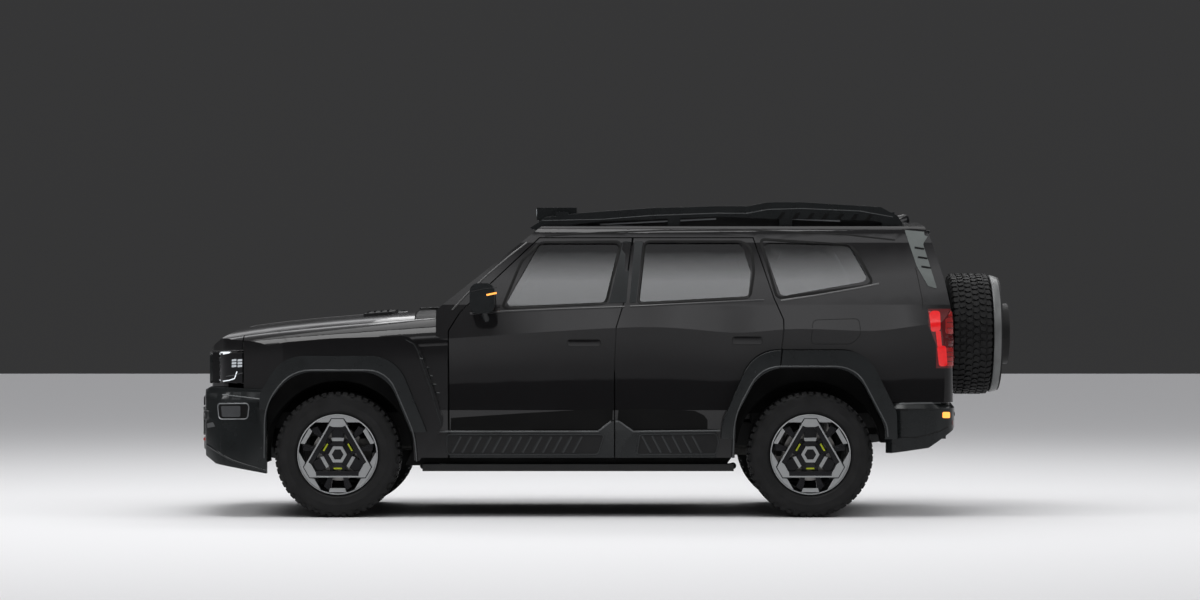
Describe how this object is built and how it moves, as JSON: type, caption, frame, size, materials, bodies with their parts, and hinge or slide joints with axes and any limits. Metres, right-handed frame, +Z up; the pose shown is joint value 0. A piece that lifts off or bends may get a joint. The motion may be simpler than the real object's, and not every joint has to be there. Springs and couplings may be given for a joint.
{
  "type": "lifted off-road 4x4",
  "caption": "Five-door lifted off-road 4x4 on a ladder frame, with opening doors, hood and side-hinged tailgate, steered front wheels, roof rack and a covered spare wheel.",
  "frame": {"origin": "on the ground, under the middle of the whole length and width", "axes": "+X to the rear, -Y to the vehicle's left side, +Z up"},
  "size_m": [5.1544, 2.162, 1.9527],
  "materials": {
    "paint": "metallic charcoal, clear coated",
    "satin": "dark grey satin",
    "frame_black": "chassis black, satin",
    "cast": "bare",
    "plastic": "grained black",
    "gloss": "gloss black",
    "rubber": "matt",
    "rim": "machined and dark lacquered",
    "glass": "tinted",
    "lamp_clear": "clear lens",
    "lamp_red": "red lens",
    "seat": "matt"
  },
  "bodies": {
    "root": {"ladder_frame": "frame_black", "front_suspension": "cast", "rear_axle": "cast", "engine": "cast", "fuel_tank": "plastic", "floor_pan": "frame_black", "cowl": "plastic", "body_side_left": "paint", "body_side_right": "paint", "roof": "paint", "fixed_glass": "glass", "front_fender_left": "paint", "front_fender_right": "paint", "flares": "satin", "arch_liners": "plastic", "front_bumper": "satin", "grille": "gloss", "headlamps": "lamp_clear", "rear_bumper": "satin", "tail_lamps": "lamp_red", "rear_spoiler": "satin", "roof_rack": "satin", "dashboard": "plastic", "seats": "seat"},
    "hood": {"hood": "paint"},
    "door_front_left": {"door_front_left": "paint", "door_glass_front_left": "glass", "trim_front_left": "satin"},
    "door_front_right": {"door_front_right": "paint", "door_glass_front_right": "glass", "trim_front_right": "satin"},
    "door_rear_left": {"door_rear_left": "paint", "door_glass_rear_left": "glass", "trim_rear_left": "satin"},
    "door_rear_right": {"door_rear_right": "paint", "door_glass_rear_right": "glass", "trim_rear_right": "satin"},
    "tailgate": {"tailgate": "paint", "tailgate_glass": "glass", "spare_tyre": "rubber", "spare_cover": "satin", "spare_carrier": "frame_black"},
    "knuckle_left": {"knuckle_left": "cast"},
    "knuckle_right": {"knuckle_right": "cast"},
    "steering_wheel": {"steering_wheel": "seat"},
    "wheel_front_left": {"tyre_front_left": "rubber", "rim_front_left": "rim"},
    "wheel_front_right": {"tyre_front_right": "rubber", "rim_front_right": "rim"},
    "wheel_rear_left": {"tyre_rear_left": "rubber", "rim_rear_left": "rim"},
    "wheel_rear_right": {"tyre_rear_right": "rubber", "rim_rear_right": "rim"}
  },
  "joints": [
    {"name": "steer_left", "type": "hinge", "parent": "root", "child": "knuckle_left", "pos_m": [-1.6515, -0.7775, 0.3875], "axis": [0, 0, 1], "range_deg": [-32, 32]},
    {"name": "steer_right", "type": "hinge", "parent": "root", "child": "knuckle_right", "pos_m": [-1.6515, 0.7775, 0.3875], "axis": [0, 0, 1], "range_deg": [-32, 32]},
    {"name": "steering_wheel_turn", "type": "hinge", "parent": "root", "child": "steering_wheel", "pos_m": [-0.53988, -0.38, 1.15896], "axis": [0.9063, 0, 0.4226], "range_deg": [-480, 480]},
    {"name": "spin_front_left", "type": "hinge", "parent": "knuckle_left", "child": "wheel_front_left", "pos_m": [-1.6515, -0.8175, 0.3875], "axis": [0, 1, 0], "continuous": true},
    {"name": "spin_front_right", "type": "hinge", "parent": "knuckle_right", "child": "wheel_front_right", "pos_m": [-1.6515, 0.8175, 0.3875], "axis": [0, 1, 0], "continuous": true},
    {"name": "spin_rear_left", "type": "hinge", "parent": "root", "child": "wheel_rear_left", "pos_m": [1.2585, -0.8175, 0.3875], "axis": [0, 1, 0], "continuous": true},
    {"name": "spin_rear_right", "type": "hinge", "parent": "root", "child": "wheel_rear_right", "pos_m": [1.2585, 0.8175, 0.3875], "axis": [0, 1, 0], "continuous": true},
    {"name": "door_front_left_hinge", "type": "hinge", "parent": "root", "child": "door_front_left", "pos_m": [-0.97086, -0.948, 0.9], "axis": [0, 0, -1], "range_deg": [0, 66]},
    {"name": "door_front_right_hinge", "type": "hinge", "parent": "root", "child": "door_front_right", "pos_m": [-0.97086, 0.948, 0.9], "axis": [0, 0, 1], "range_deg": [0, 66]},
    {"name": "door_rear_left_hinge", "type": "hinge", "parent": "root", "child": "door_rear_left", "pos_m": [0.0529, -0.948, 0.9], "axis": [0, 0, -1], "range_deg": [0, 70]},
    {"name": "door_rear_right_hinge", "type": "hinge", "parent": "root", "child": "door_rear_right", "pos_m": [0.0529, 0.948, 0.9], "axis": [0, 0, 1], "range_deg": [0, 70]},
    {"name": "hood_hinge", "type": "hinge", "parent": "root", "child": "hood", "pos_m": [-1.18298, 0, 1.28276], "axis": [0, 1, 0], "range_deg": [0, 52]},
    {"name": "tailgate_hinge", "type": "hinge", "parent": "root", "child": "tailgate", "pos_m": [2.16116, 0.7455, 1.1], "axis": [0, 0, 1], "range_deg": [0, 85]}
  ],
  "couplings": [
    {"joint": "steer_right", "follows": "steer_left", "ratio": 1},
    {"joint": "steering_wheel_turn", "follows": "steer_left", "ratio": 15}
  ]
}
